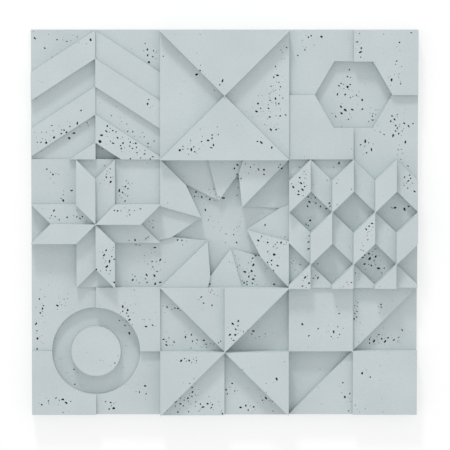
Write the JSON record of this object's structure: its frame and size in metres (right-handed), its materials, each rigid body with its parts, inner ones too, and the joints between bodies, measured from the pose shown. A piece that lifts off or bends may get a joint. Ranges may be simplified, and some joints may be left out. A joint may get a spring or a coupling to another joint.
{
  "type": "wall panel tile",
  "caption": "Square wall panel tile of cast concrete with a faceted geometric relief on its face and a flat back for bonding to a wall",
  "frame": {"origin": "centre of the flat back face", "axes": "+X to the right of the panel seen from its face, +Y to its top edge, +Z out of its face; the panel lies on its back"},
  "size_m": [0.6, 0.6, 0.043],
  "materials": {
    "concrete": "matt cast concrete with small air pores"
  },
  "bodies": {
    "root": {"panel": "concrete"}
  },
  "joints": []
}
